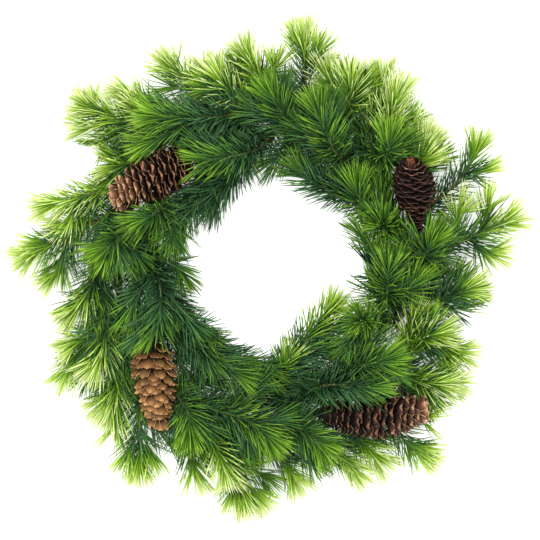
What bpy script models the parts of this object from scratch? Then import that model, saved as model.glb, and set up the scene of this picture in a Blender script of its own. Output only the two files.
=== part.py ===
"""A spruce wreath with four cones, lying flat: a wire ring, the sprigs tied to it and the cones on top.

Everything is in metres, +Z up. The origin is on the table, under the middle of the wreath's outline.
Angles are in degrees, anticlockwise from +X as seen from above.
"""

import math
import random
from collections import namedtuple
from functools import partial

import bmesh
import bpy
import numpy as np

MM = 0.001

# Ring: a round wire bent to a hoop, faceted so that it stands on one of its flats
RING_RADIUS = 145 * MM
RING_WIRE_RADIUS = 4 * MM
RING_SEGMENTS = 48
RING_SIDES = 8
RING_HEIGHT = RING_WIRE_RADIUS * math.cos(math.pi / RING_SIDES)

# Sprigs: a woody stem with needles in whorls
STEM_SIDES = 5
STEM_FOOT_RADIUS = 1.9 * MM
STEM_END_RADIUS = 1.2 * MM
NEEDLE_LENGTH = 28 * MM
NEEDLE_BASE = 1.8 * MM
NEEDLE_RADIUS = 0.8 * MM
WHORL_SPACING = 13.5 * MM
BARE_FOOT = 16 * MM
STRAIGHT_FOOT = 3 * MM
NEEDLE_ANGLE_FOOT = 52
NEEDLE_ANGLE_END = 22

# Cones: overlapping woody scales round a core, on a short stalk. A cone's profile gives its radius
# at each of the shares of its length, from its base to its tip
CONE_CORE_RADIUS = 9 * MM
CONE_ROWS = 9
CONE_SCALES = 6
SCALE_WIDTH = 16 * MM
SCALE_END_WIDTH = 9 * MM
SCALE_THICKNESS = 1.5 * MM
STALK_RADIUS = 2.2 * MM
PROFILE_SHARES = (0, 0.1, 0.2, 0.35, 0.5, 0.65, 0.8, 0.9, 1)
PROFILE_MARGIN = 1.06

# Room kept between neighbours
TOUCH_GAP = 0.2 * MM
STEM_GAP = 1.5 * MM
CONE_GAP = 2.5 * MM
NEEDLE_GAP = 0.35 * MM
FLOOR_GAP = 1.2 * MM
LIFT_STEP = 4 * MM
LIFT_TRIES = 9
STEM_POINTS = 13
SEED = 24

SPRUCE = ("spruce_green", (0.075, 0.21, 0.06), 0.55, 0.0)
CONE_WOOD = ("cone_brown", (0.26, 0.13, 0.06), 0.8, 0.0)
RING_WRAP = ("ring_wrap", (0.10, 0.07, 0.045), 0.8, 0.0)

# A shoot runs from its root to the end of its stem. end is x, y, z in millimetres from the ring's
# middle, heading and pitch give the way it points there. A fork leaves the main stem at a share of it.
Shoot = namedtuple("Shoot", "root end heading pitch fork", defaults=(4, None))
Fork = namedtuple("Fork", "share end heading")

# Outer sprigs: they lie low and point out past the ring, all swept anticlockwise
OUTER = [
    Shoot(2, (221, 40, 32), 25, fork=Fork(0.50, (197, 10, 24), 3)),
    Shoot(18, (196, 112, 30), 76, fork=Fork(0.62, (208, 91, 34), 16)),
    Shoot(30, (145, 103, 50), 45),
    Shoot(44, (119, 160, 34), 75, fork=Fork(0.45, (138, 130, 26), 50)),
    Shoot(52, (107, 177, 24), 95),
    Shoot(60, (76, 170, 40), 92, fork=Fork(0.40, (50, 178, 34), 112)),
    Shoot(74, (31, 216, 34), 100),
    Shoot(84, (-21, 195, 28), 118),
    Shoot(92, (-47, 180, 44), 118),
    Shoot(104, (-94, 191, 28), 148),
    Shoot(114, (-125, 150, 26), 146, fork=Fork(0.50, (-136, 172, 24), 160)),
    Shoot(124, (-171, 153, 30), 160, fork=Fork(0.50, (-174, 130, 22), 181)),
    Shoot(136, (-149, 98, 30), 176),
    Shoot(147, (-207, 61, 34), 189),
    Shoot(158, (-224, 13, 30), 203, fork=Fork(0.50, (-203, -8, 22), 228)),
    Shoot(174, (-184, -37, 30), 217),
    Shoot(186, (-163, -89, 36), 226),
    Shoot(194, (-194, -102, 26), 242),
    Shoot(206, (-151, -131, 30), 235, fork=Fork(0.55, (-144, -152, 24), 250)),
    Shoot(218, (-125, -186, 30), 268),
    Shoot(234, (-70, -195, 24), 280),
    Shoot(244, (-42, -188, 46), 285),
    Shoot(252, (-23, -216, 28), 293),
    Shoot(262, (23, -196, 26), 296),
    Shoot(280, (76, -184, 28), 316),
    Shoot(292, (102, -178, 24), 318),
    Shoot(304, (142, -176, 26), 322, fork=Fork(0.50, (146, -143, 24), 338)),
    Shoot(318, (159, -110, 34), 355),
    Shoot(330, (152, -63, 40), 5, fork=Fork(0.50, (184, -78, 28), 352)),
    Shoot(344, (196, -20, 32), 12),
]

# Inner sprigs: they lean in over the hole's edge and follow the ring round
INNER = [
    Shoot(16, (106, 42, 66), 120, 60, fork=Fork(0.40, (103, 74, 40), 100)),
    Shoot(24, (83, 75, 58), 92, 14),
    Shoot(32, (29, 91, 50), 140, 6),
    Shoot(48, (45, 146, 78), 112, 10),
    Shoot(70, (3, 160, 70), 125, 10),
    Shoot(86, (-61, 101, 74), 188, 4),
    Shoot(97, (-54, 75, 42), 215),
    Shoot(112, (-89, 37, 50), 232),
    Shoot(141, (-116, 46, 72), 205, 8),
    Shoot(168, (-106, -62, 80), 252, fork=Fork(0.35, (-128, -40, 58), 262)),
    Shoot(198, (-54, -83, 46), 308, fork=Fork(0.62, (-30, -98, 54), 338)),
    Shoot(256, (50, -106, 34), 333),
    Shoot(268, (60, -41, 48), 46, 8, fork=Fork(0.50, (74, -72, 44), 15)),
    Shoot(282, (95, -110, 76), 352, 6),
    Shoot(300, (107, -85, 82), 12, 8),
    Shoot(335, (85, -47, 88), 160, 66),
    Shoot(342, (111, -1, 76), 86, 20, fork=Fork(0.40, (134, -14, 62), 62)),
    Shoot(352, (96, 6, 36), 88),
]

# Front sprigs: they stand highest and point outwards over the others
FRONT = [
    Shoot(358, (150, 23, 74), 66, 25),
    Shoot(46, (112, 118, 70), 96, 12),
    Shoot(90, (-106, 143, 66), 168, 6, fork=Fork(0.50, (-112, 118, 60), 200)),
    Shoot(160, (-151, 20, 66), 215, 8),
    Shoot(226, (-74, -150, 64), 266, 8),
    Shoot(238, (-2, -157, 68), 305, 8),
    Shoot(270, (47, -164, 62), 311, 8),
]

# Cones: the stalk's root, the middle in millimetres, the way the tip points and its pitch, the length,
# how far the middle bows out to the left, and the radii of the profile
Cone = namedtuple("Cone", "root middle heading pitch length bow profile")
CONES = [
    Cone(122, (-110, 85, 50), 209, 4, 82, 0, (16, 19, 21, 22.7, 22.7, 21.8, 19, 15.5, 8)),
    Cone(5, (134, 65, 54), 98, 32, 84, -4, (6, 6.5, 7.5, 11.5, 20, 21.3, 19, 14.5, 6)),
    Cone(203, (-107, -107, 50), 275, -10, 84, 0, (17, 20.5, 22.5, 23.7, 22.2, 20.2, 16, 11, 5)),
    Cone(289, (97, -133, 46), 5, 6, 98, -6, (9.5, 13, 16, 20, 22.3, 22.8, 21, 17.5, 8)),
]


def unit(vector):
    return vector / np.linalg.norm(vector)


def pointing(heading, pitch):
    """The direction with this heading and this pitch above the level."""
    turn, rise = math.radians(heading), math.radians(pitch)
    return np.array([math.cos(turn) * math.cos(rise), math.sin(turn) * math.cos(rise), math.sin(rise)])


def seat(bearing, side, foot_radius, swing):
    """A foot's centre against the ring and the direction in which its stem leaves. side is 0 outside the
    ring and 90 on top of it, swing is how far the stem leans along the ring."""
    out = pointing(bearing, 0)
    away = out * math.cos(math.radians(side)) + np.array([0, 0, math.sin(math.radians(side))])
    leaving = unit(away + swing * pointing(bearing + 90, 0))
    middle = out * RING_RADIUS + np.array([0, 0, RING_HEIGHT])
    tilt = math.sqrt(1 - float(leaving @ away) ** 2)
    return middle + away * (RING_WIRE_RADIUS + foot_radius * tilt + TOUCH_GAP), leaving


def curve(start, leaving, end, arriving, points=STEM_POINTS):
    """Points along a straight foot and then a smooth bend, with the directions at both ends given."""
    foot, start = start, start + leaving * STRAIGHT_FOOT
    pull = 0.36 * np.linalg.norm(end - start)
    share = np.linspace(0, 1, points - 1)[:, None]
    rest = 1 - share
    bend = rest**3 * start + 3 * rest**2 * share * (start + pull * leaving)
    bend += 3 * rest * share**2 * (end - pull * arriving) + share**3 * end
    return np.concatenate([[foot], bend])


def along(path, distances):
    """The points at these distances along a path."""
    steps = np.linalg.norm(np.diff(path, axis=0), axis=1)
    travelled = np.concatenate([[0], np.cumsum(steps)])
    return np.stack([np.interp(distances, travelled, path[:, axis]) for axis in range(3)], axis=1)


def length_of(path):
    return float(np.linalg.norm(np.diff(path, axis=0), axis=1).sum())


def gaps(first, last, firsts, lasts):
    """The shortest distance from one straight stretch to each of many."""
    one, many, apart = last - first, lasts - firsts, first - firsts
    a, e = one @ one, np.einsum("ij,ij->i", many, many)
    b, c, f = many @ one, apart @ one, np.einsum("ij,ij->i", many, apart)
    spread = a * e - b * b
    share = np.clip(np.where(spread > 1e-18, (b * f - c * e) / np.maximum(spread, 1e-18), 0), 0, 1)
    other = (b * share + f) / e
    share = np.where(other < 0, np.clip(-c / a, 0, 1), np.where(other > 1, np.clip((b - c) / a, 0, 1), share))
    other = np.clip(other, 0, 1)
    between = first + one * share[:, None] - firsts - many * other[:, None]
    return np.linalg.norm(between, axis=1)


def cone_ends(cone):
    """The cone's base and tip."""
    middle = np.array(cone.middle) * MM
    reach = pointing(cone.heading, cone.pitch) * cone.length * MM / 2
    return middle - reach, middle + reach


def cone_bow(cone, share):
    """How far the cone's middle line is off its straight axis at these shares of its length."""
    out = 4 * share * (1 - share) * cone.bow * MM
    return np.asarray(out)[..., None] * pointing(cone.heading + 90, 0)


def cone_radius(cone, share):
    """The cone's radius over the lips of its scales."""
    return np.interp(share, PROFILE_SHARES, cone.profile) * MM


def clear_of_cones(points, room):
    """Whether every point stays this far outside each cone's outline."""
    for cone in CONES:
        base, tip = cone_ends(cone)
        axis = unit(tip - base)
        offset = points - base
        lengthwise = offset @ axis
        share = lengthwise / np.linalg.norm(tip - base)
        crosswise = np.linalg.norm(offset - lengthwise[:, None] * axis - cone_bow(cone, share), axis=1)
        outline = cone_radius(cone, share) * PROFILE_MARGIN + room
        if ((share > -0.05) & (share < 1.05) & (crosswise < outline)).any():
            return False
    return True


def clear_of_ring(path):
    """Whether a stem keeps off the ring once it has left its foot."""
    beyond = path[3:]
    across = np.hypot(beyond[:, 0], beyond[:, 1]) - RING_RADIUS
    return np.hypot(across, beyond[:, 2] - RING_HEIGHT).min() > RING_WIRE_RADIUS + STEM_FOOT_RADIUS + STEM_GAP


def stalk_path(cone):
    """From the ring up to the cone's base, arriving along the cone's axis."""
    base, tip = cone_ends(cone)
    start, leaving = seat(cone.root, 90, STALK_RADIUS, 0)
    return curve(start, leaving, base, unit(tip - base), 7)


def stem_path(shoot, side, lift):
    """A main stem's path, raised by lift between its foot and its end."""
    start, leaving = seat(shoot.root, side, STEM_FOOT_RADIUS, 0.25 if side > 90 else 0.6)
    end = np.array(shoot.end) * MM + np.array([0, 0, lift / 2])
    path = curve(start, leaving, end, pointing(shoot.heading, shoot.pitch))
    path[1:, 2] += lift * np.sin(np.linspace(0, math.pi, STEM_POINTS - 1))
    return path


def fork_path(fork, path, lift):
    """A side shoot's path, from inside the main stem to its own end, raised like the stem's end."""
    start = along(path, [fork.share * length_of(path)])[0]
    end = np.array(fork.end) * MM + np.array([0, 0, lift / 2])
    return curve(start, unit(path[-1] - start), end, pointing(fork.heading, 4), 8)


def too_near(path, laid):
    """Whether a stem comes closer than it may to one that is laid already."""
    firsts = np.concatenate([other[:-1] for other in laid])
    lasts = np.concatenate([other[1:] for other in laid])
    room = 2 * STEM_FOOT_RADIUS + STEM_GAP
    return any(gaps(a, b, firsts, lasts).min() < room for a, b in zip(path[:-1], path[1:]))


def lay_stems():
    """Every sprig's name and the paths of its stems. Each is raised or lowered until it lies clear."""
    laid = [stalk_path(cone) for cone in CONES]
    sprigs = []
    for layer, side, shoots in (("outer", 38, OUTER), ("inner", 146, INNER), ("front", 80, FRONT)):
        for number, shoot in enumerate(shoots, 1):
            for attempt in range(2 * LIFT_TRIES):
                lift = (attempt + 1) // 2 * LIFT_STEP * (1 if attempt % 2 else -1)
                path = stem_path(shoot, side, lift)
                paths = [path] + ([fork_path(shoot.fork, path, lift)] if shoot.fork else [])
                level = min(p[:, 2].min() for p in paths) > STEM_FOOT_RADIUS
                off_cones = all(clear_of_cones(p, CONE_GAP) for p in paths)
                if level and off_cones and clear_of_ring(path) and not any(too_near(p, laid) for p in paths):
                    break
            else:
                print("no room for", layer, number)
            laid += paths
            sprigs.append((f"sprig_{layer}_{number:02d}", paths))
    return sprigs


def frames(points):
    """The direction and two crosswise unit vectors at each point, turned as little as possible."""
    ways = np.gradient(points, axis=0)
    ways /= np.linalg.norm(ways, axis=1)[:, None]
    side = np.array([1.0, 0.0, 0.0]) if abs(ways[0][2]) > 0.9 else np.array([0.0, 0.0, 1.0])
    sides = []
    for way in ways:
        side = unit(side - (side @ way) * way)
        sides.append(side)
    sides = np.array(sides)
    return ways, sides, np.cross(ways, sides)


class Skin:
    """A closed surface built ring by ring along a path."""

    def __init__(self):
        self.mesh = bmesh.new()

    def ring(self, centre, side, other, radius, count, turn):
        """A ring of points round centre."""
        angles = [turn + 2 * math.pi * k / count for k in range(count)]
        offsets = [radius * (math.cos(angle) * side + math.sin(angle) * other) for angle in angles]
        return [self.mesh.verts.new(centre + offset) for offset in offsets]

    def bridge(self, near, far, raised=None):
        """The band between two rings. A cell that has an entry in raised is left to it."""
        count = len(near)
        for k in range(count):
            cell = [near[k], near[(k + 1) % count], far[(k + 1) % count], far[k]]
            if raised and k in raised:
                raised[k](cell)
            else:
                self.mesh.faces.new(cell)

    def spike(self, place, cell):
        """A needle that grows out of a four-cornered cell and ends at place."""
        tip = self.mesh.verts.new(place)
        for k in range(4):
            self.mesh.faces.new([cell[k], cell[(k + 1) % 4], tip])

    def cap(self, ring):
        """Closes a ring with a flat face."""
        self.mesh.faces.new(ring)

    def point(self, ring, place):
        """Closes a ring to a point."""
        tip = self.mesh.verts.new(place)
        for k in range(len(ring)):
            self.mesh.faces.new([ring[k], ring[(k + 1) % len(ring)], tip])

    def object(self, name, material):
        """The finished surface as an object, with its faces outwards."""
        bmesh.ops.recalc_face_normals(self.mesh, faces=self.mesh.faces[:])
        if self.mesh.calc_volume(signed=True) < 0:
            bmesh.ops.reverse_faces(self.mesh, faces=self.mesh.faces[:])
        data = bpy.data.meshes.new(name)
        self.mesh.to_mesh(data)
        self.mesh.free()
        data.materials.append(material)
        made = bpy.data.objects.new(name, data)
        bpy.context.scene.collection.objects.link(made)
        return made


def material_of(finish):
    """A plain material of this name, colour, roughness and metallic value."""
    name, colour, roughness, metallic = finish
    found = bpy.data.materials.get(name)
    if found:
        return found
    made = bpy.data.materials.new(name)
    made.use_nodes = True
    shader = made.node_tree.nodes["Principled BSDF"]
    shader.inputs["Base Color"].default_value = (*colour, 1)
    shader.inputs["Roughness"].default_value = roughness
    shader.inputs["Metallic"].default_value = metallic
    return made


class Taken:
    """The straight stretches that are already filled, each with a radius and an owner."""

    def __init__(self):
        self.firsts, self.lasts, self.radii, self.owners = [], [], [], []

    def add(self, first, last, radius, owner):
        self.firsts.append(first)
        self.lasts.append(last)
        self.radii.append(radius)
        self.owners.append(owner)

    def clear(self, first, last, radius, besides):
        """Whether a new stretch keeps its distance from all but those of its own root."""
        firsts, lasts, radii = (np.array(x) for x in (self.firsts, self.lasts, self.radii))
        counted = np.array([owner not in besides for owner in self.owners])
        room = gaps(first, last, firsts, lasts) - radii - radius - NEEDLE_GAP
        return bool((room[counted] > 0).all())


def needle_tip(root, way, outward, angle, length, draw):
    """Where a needle ends. It is turned aside, then shortened, until it lies clear."""
    for attempt in range(10):
        shorter = length * (1 - 0.07 * max(0, attempt - 3))
        lean = math.radians(angle + draw.uniform(-4, 4) + (0, 9, -9, 14, -12, 0, 10, -8, 5, -5)[attempt])
        swing = draw.uniform(-0.10, 0.10) + (0, 0.15, -0.15, 0.3, -0.3, 0.2, -0.2, 0.35, -0.35, 0)[attempt]
        aside = np.cross(way, outward)
        radial = outward * math.cos(swing) + aside * math.sin(swing)
        tip = root + shorter * (math.cos(lean) * way + math.sin(lean) * radial)
        tip[2] = max(tip[2], FLOOR_GAP)
        yield tip


def shoot_skin(name, path, taken, draw):
    """One stem with its needles, as a closed surface."""
    total = length_of(path)
    whorls = max(3, round((total - BARE_FOOT) / WHORL_SPACING))
    begins = np.linspace(BARE_FOOT, total - NEEDLE_BASE, whorls)
    if total < 3 * BARE_FOOT:
        begins = np.linspace(total / 3, total - NEEDLE_BASE, whorls)
    stations = np.sort(np.concatenate([[0, STRAIGHT_FOOT], begins, begins + NEEDLE_BASE]))
    centres = along(path, stations)
    ways, sides, others = frames(centres)
    skin = Skin()
    rings = []
    for index, station in enumerate(stations):
        radius = STEM_FOOT_RADIUS + (STEM_END_RADIUS - STEM_FOOT_RADIUS) * station / total
        whorl = max(0, (index - 2) // 2)
        turn = whorl * math.pi / STEM_SIDES
        rings.append(skin.ring(centres[index], sides[index], others[index], radius, STEM_SIDES, turn))
    skin.cap(rings[0])
    for index in range(len(rings) - 1):
        whorl, is_whorl = (index - 2) // 2, index >= 2 and index % 2 == 0
        raised = {}
        if is_whorl:
            share = whorl / max(1, whorls - 1)
            angle = NEEDLE_ANGLE_FOOT + (NEEDLE_ANGLE_END - NEEDLE_ANGLE_FOOT) * share**1.6
            for k in range(STEM_SIDES):
                azimuth = whorl * math.pi / STEM_SIDES + 2 * math.pi * (k + 0.5) / STEM_SIDES
                outward = math.cos(azimuth) * sides[index] + math.sin(azimuth) * others[index]
                root = centres[index] + outward * STEM_END_RADIUS + ways[index] * NEEDLE_BASE / 2
                besides = {(name, "stem"), (name, whorl)}
                length = NEEDLE_LENGTH * draw.uniform(0.9, 1.06)
                for tip in needle_tip(root, ways[index], outward, angle, length, draw):
                    begin, outer = root + 0.12 * (tip - root), root + 0.35 * (tip - root)
                    off_cones = clear_of_cones(np.linspace(begin, tip, 9), CONE_GAP)
                    off_stem = taken.clear(outer, tip, NEEDLE_RADIUS, {(name, whorl)})
                    if off_cones and off_stem and taken.clear(begin, tip, NEEDLE_RADIUS, besides):
                        taken.add(begin, tip, NEEDLE_RADIUS, (name, whorl))
                        raised[k] = partial(skin.spike, tip)
                        break
        skin.bridge(rings[index], rings[index + 1], raised)
    for reach in (0.95, 0.8, 0.6, 0.4, 0.15):
        last = centres[-1] + ways[-1] * NEEDLE_LENGTH * reach
        besides = {(name, "stem"), (name, whorls - 1)}
        off_cones = clear_of_cones(np.linspace(centres[-1], last, 9), CONE_GAP)
        if off_cones and taken.clear(centres[-1] + ways[-1] * 2 * MM, last, NEEDLE_RADIUS, besides):
            break
    taken.add(centres[-1], last, NEEDLE_RADIUS, (name, whorls - 1))
    skin.point(rings[-1], last)
    return skin.object(name, material_of(SPRUCE))


def fuse(main, parts):
    """Joins parts to main in one Boolean union, and removes them."""
    group = bpy.data.collections.new(main.name + "_parts")
    bpy.context.scene.collection.children.link(group)
    for part in parts:
        bpy.context.scene.collection.objects.unlink(part)
        group.objects.link(part)
    union = main.modifiers.new("fuse", "BOOLEAN")
    union.operation = "UNION"
    union.operand_type = "COLLECTION"
    union.collection = group
    union.solver = "MANIFOLD"
    bpy.context.view_layer.update()
    graph = bpy.context.evaluated_depsgraph_get()
    joined = bpy.data.meshes.new_from_object(main.evaluated_get(graph))
    main.modifiers.clear()
    main.data = joined
    for part in parts:
        bpy.data.objects.remove(part)
    bpy.data.collections.remove(group)


def make_sprigs():
    """Every sprig, each in its own object."""
    sprigs = lay_stems()
    taken = Taken()
    add_path(taken, ring_line(), RING_WIRE_RADIUS, "ring")
    for number, cone in enumerate(CONES):
        add_path(taken, stalk_path(cone), STALK_RADIUS, f"stalk {number}")
    for name, paths in sprigs:
        for number, path in enumerate(paths):
            add_path(taken, path, STEM_FOOT_RADIUS, (f"{name}{'abc'[number]}", "stem"))
    for name, paths in sprigs:
        draw = random.Random(f"{SEED} {name}")
        shoots = [shoot_skin(f"{name}{'abc'[k]}", path, taken, draw) for k, path in enumerate(paths)]
        if len(shoots) > 1:
            fuse(shoots[0], shoots[1:])
        shoots[0].name = name
        shoots[0].data.name = name


def add_path(taken, path, radius, owner):
    for first, last in zip(path[:-1], path[1:]):
        taken.add(first, last, radius, owner)


def ring_line():
    """The ring's middle line as a closed run of points."""
    bearings = np.linspace(0, 360, RING_SEGMENTS + 1)
    return np.array([pointing(bearing, 0) * RING_RADIUS + [0, 0, RING_HEIGHT] for bearing in bearings])


def make_ring():
    """The wire ring: an eight-sided wire with a flat underneath, turned round the middle."""
    skin = Skin()
    up, turn = np.array([0, 0, 1.0]), math.pi / RING_SIDES
    rings = []
    for bearing, centre in zip(np.linspace(0, 360, RING_SEGMENTS, endpoint=False), ring_line()[:-1]):
        rings.append(skin.ring(centre, pointing(bearing, 0), up, RING_WIRE_RADIUS, RING_SIDES, turn))
    for near, far in zip(rings, rings[1:] + rings[:1]):
        skin.bridge(near, far)
    return skin.object("ring_frame", material_of(RING_WRAP))


def scale_cell(skin, middle, way, outward, reach, opening, cell):
    """A woody scale that grows out of a cell: it widens, then ends in a blunt rounded lip."""
    aside = unit(np.cross(way, outward))
    blade = math.cos(opening) * way + math.sin(opening) * outward
    upper = unit(np.cross(aside, blade))
    near = cell
    shape = min(1.0, reach / SCALE_WIDTH + 0.25)
    lip = (1.0, SCALE_END_WIDTH, 0.6 * SCALE_THICKNESS)
    for share, width, thick in ((0.62, SCALE_WIDTH, SCALE_THICKNESS), lip):
        centre = middle + blade * reach * share
        corners = []
        for corner in cell:
            offset = np.array(corner.co) - middle
            left = math.copysign(1, offset @ aside)
            top = math.copysign(1, offset @ way)
            place = centre + aside * left * width * shape / 2 - upper * top * thick / 2
            corners.append(skin.mesh.verts.new(place))
        for k in range(4):
            skin.mesh.faces.new([near[k], near[(k + 1) % 4], corners[(k + 1) % 4], corners[k]])
        near = corners
    skin.mesh.faces.new(near)


def make_cone(name, cone):
    """A cone on its stalk: rows of scales round a core, wide open at the base and closed at the tip."""
    base, tip = cone_ends(cone)
    way = unit(tip - base)
    length = cone.length * MM
    stalk = stalk_path(cone)
    skin = Skin()
    ways, sides, others = frames(np.concatenate([stalk, [tip]]))
    side, other = sides[-2], others[-2]
    side = unit(side - (side @ way) * way)
    other = np.cross(way, side)
    rings = [
        skin.ring(stalk[k], sides[k], others[k], STALK_RADIUS, CONE_SCALES, 0) for k in range(len(stalk) - 1)
    ]
    skin.cap(rings[0])
    for near, far in zip(rings[:-1], rings[1:]):
        skin.bridge(near, far)
    band = 2.4 * MM
    last = rings[-1]
    for row in range(CONE_ROWS):
        share = (row + 0.3) / CONE_ROWS * 0.9
        opening = math.radians(78 - 58 * share)
        core = min(CONE_CORE_RADIUS * (1 - share**2.2 * 0.72), 0.6 * cone_radius(cone, share))
        lip = share
        for settling in range(4):
            full = cone_radius(cone, lip)
            lip = share + (full - core) / math.tan(opening) / length
        turn = row * math.pi / CONE_SCALES
        at = base + way * length * share + cone_bow(cone, share)
        near = skin.ring(at, side, other, core, CONE_SCALES, turn)
        far = skin.ring(at + way * band, side, other, core, CONE_SCALES, turn)
        skin.bridge(last, near)
        raised = {}
        for k in range(CONE_SCALES):
            azimuth = turn + 2 * math.pi * (k + 0.5) / CONE_SCALES
            outward = math.cos(azimuth) * side + math.sin(azimuth) * other
            middle = at + way * band / 2 + outward * core * math.cos(math.pi / CONE_SCALES)
            reach = max(full - core, 2 * MM) / math.sin(opening)
            raised[k] = partial(scale_cell, skin, middle, way, outward, reach, opening)
        skin.bridge(near, far, raised)
        last = far
    skin.point(last, tip)
    return skin.object(name, material_of(CONE_WOOD))


def centre_on_origin():
    """Stands everything on an empty that puts the middle of the outline over the origin."""
    corners = np.concatenate(
        [np.array([v.co for v in piece.data.vertices]) for piece in bpy.data.objects if piece.type == "MESH"]
    )
    middle = (corners.min(axis=0) + corners.max(axis=0)) / 2
    wreath = bpy.data.objects.new("wreath", None)
    bpy.context.scene.collection.objects.link(wreath)
    for piece in bpy.data.objects:
        if piece.type == "MESH":
            piece.parent = wreath
    wreath.location = (-middle[0], -middle[1], 0)


def main():
    for old in list(bpy.data.objects):
        bpy.data.objects.remove(old)
    make_ring()
    for number, cone in enumerate(CONES, 1):
        make_cone(f"cone_{number}", cone)
    make_sprigs()
    centre_on_origin()


main()
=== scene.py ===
# %% [markdown]
# # A spruce wreath with four cones
#
# The wreath lies flat, as on a table, and the camera looks straight down on it, because the
# photograph shows it flat-on. Its pieces are a wire ring, sprigs of moulded spruce tied round the
# ring, and four real cones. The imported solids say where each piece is, and this file gives each
# one its fine shape and its finish.

import math
from collections import namedtuple

import bpy
import numpy as np
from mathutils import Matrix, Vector


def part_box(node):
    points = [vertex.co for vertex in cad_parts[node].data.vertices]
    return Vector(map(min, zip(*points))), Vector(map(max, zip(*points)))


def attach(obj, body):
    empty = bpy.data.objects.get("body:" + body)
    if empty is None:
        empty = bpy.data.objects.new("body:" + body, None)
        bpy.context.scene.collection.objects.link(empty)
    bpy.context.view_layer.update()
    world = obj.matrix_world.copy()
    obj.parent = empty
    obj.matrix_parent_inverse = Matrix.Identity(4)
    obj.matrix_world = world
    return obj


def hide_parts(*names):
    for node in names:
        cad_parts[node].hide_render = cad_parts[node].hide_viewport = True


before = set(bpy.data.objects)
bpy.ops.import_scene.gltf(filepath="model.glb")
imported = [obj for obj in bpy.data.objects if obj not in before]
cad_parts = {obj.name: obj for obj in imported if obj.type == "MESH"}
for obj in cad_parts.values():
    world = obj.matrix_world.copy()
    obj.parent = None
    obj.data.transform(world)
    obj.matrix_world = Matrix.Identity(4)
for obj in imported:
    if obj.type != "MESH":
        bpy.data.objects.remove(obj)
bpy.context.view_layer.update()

# %% [markdown]
# ## Units, colours and nodes
#
# Blender works in metres, and a maker thinks in millimetres, so one constant turns one into the
# other. Colours are picked as sRGB hex values, because that is how they look on a screen, and
# the shader wants them linear. Shaders are built by one small function that adds a node, sets
# its values and links its inputs.

# %% Helpers for units, colours and nodes
MM = 0.001


def unit(vector):
    """The vector at length one, or each row of an array at length one."""
    return vector / np.linalg.norm(vector, axis=-1, keepdims=True)


def linear(hex_colour):
    """An sRGB hex colour as the linear RGBA that a shader takes."""
    shares = [int(hex_colour[k:k + 2], 16) / 255 for k in (1, 3, 5)]
    values = [c / 12.92 if c <= 0.04045 else ((c + 0.055) / 1.055) ** 2.4 for c in shares]
    return (*values, 1.0)


def node(tree, kind, settings=None, stops=(), **inputs):
    """Adds a node. Settings are its own fields, stops are a colour ramp's places and hex colours,
    and inputs are values or sockets, by name or _number."""
    made = tree.nodes.new(kind)
    for field, value in (settings or {}).items():
        setattr(made, field, value)
    if stops:
        elements = made.color_ramp.elements
        while len(elements) < len(stops):
            elements.new(0.5)
        for element, (place, colour) in zip(elements, stops):
            element.position = place
            element.color = linear(colour)
    for key, value in inputs.items():
        numbered = key.startswith("_") and key[1:].isdigit()
        socket = made.inputs[int(key[1:]) if numbered else key.replace("_", " ")]
        if isinstance(value, bpy.types.NodeSocket):
            tree.links.new(value, socket)
        else:
            socket.default_value = value
    return made


def placed(name, data):
    """A new object in the scene, made from its data."""
    made = bpy.data.objects.new(name, data)
    bpy.context.scene.collection.objects.link(made)
    return made


def new_material(name, **finish):
    """A material of this name, with its node tree and its Principled shader, set to the finish."""
    material = bpy.data.materials.new(name)
    material.use_nodes = True
    shader = material.node_tree.nodes["Principled BSDF"]
    for socket, value in finish.items():
        shader.inputs[socket.replace("_", " ")].default_value = value
    return material, material.node_tree, shader


print("orange peel in linear light", linear("#ff8000"))

# %% [markdown]
# ## Spruce needles of moulded polyethylene
#
# The sprigs are moulded in soft polyethylene, as good artificial spruce is: satin, a little
# waxy, dark bluish green at the foot of each sprig and sprayed lime at its end. Thousands of
# needles can't each carry a texture of their own, so every needle has a place on one colour
# chart instead. Along the chart the green goes from old growth to new tips, and across it each
# needle has its own shade. Needles far out also sit further along it, as painted light, and the
# foot of each needle sits lower than its tip, as painted shade near the stem. The chart is the
# UV map, so the colours survive a bake exactly.

# %% The needle material
# Needles use the chart below this height, and bark the strip above it
SHADE_TOP = 0.88
# The hue and the brightness of the first shade and of the last one
HUES, TONES = (0.515, 0.49), (0.15, 1.42)
GREENS = [
    (0.00, "#163618"),
    (0.16, "#406842"),
    (0.34, "#4e7a28"),
    (0.52, "#73a028"),
    (0.70, "#a1c446"),
    (0.86, "#cde286"),
    (1.00, "#ecf3be"),
]

polyethylene_needles, tree, shader = new_material(
    "polyethylene_needles", Roughness=0.50, IOR=1.51, Specular_IOR_Level=0.12,
)
chart = node(tree, "ShaderNodeUVMap", {"uv_map": "OFBake"}).outputs["UV"]
parts = node(tree, "ShaderNodeSeparateXYZ", Vector=chart)
growth, own_shade = parts.outputs["X"], parts.outputs["Y"]
greens = node(tree, "ShaderNodeValToRGB", stops=GREENS, Fac=growth)
cast = node(
    tree, "ShaderNodeMapRange",
    Value=own_shade, From_Max=SHADE_TOP, To_Min=HUES[0], To_Max=HUES[1],
)
tone = node(
    tree, "ShaderNodeMapRange",
    Value=own_shade, From_Max=SHADE_TOP, To_Min=TONES[0], To_Max=TONES[1],
)
tinted = node(
    tree, "ShaderNodeHueSaturation",
    Hue=cast.outputs["Result"], Value=tone.outputs["Result"], Color=greens.outputs["Color"],
)
tree.links.new(tinted.outputs["Color"], shader.inputs["Base Color"])
print("needle material", polyethylene_needles.name, "with", len(GREENS), "greens")

# %% [markdown]
# ## Bark of the stems
#
# Between the needles the stems show as a thin brown bark, ridged lengthwise, that turns green
# where the stem is young. It is also drawn on the chart, whose top strip is kept for it. A stem
# is about 90 mm long and 8 mm round, so the ridges are stretched noise, about 1 mm apart across.

# %% The bark material
BARK_BROWNS = [(0.3, "#3a2614"), (0.5, "#624426"), (0.72, "#8c683e")]
YOUNG_BARK = "#4e7430"

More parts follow.
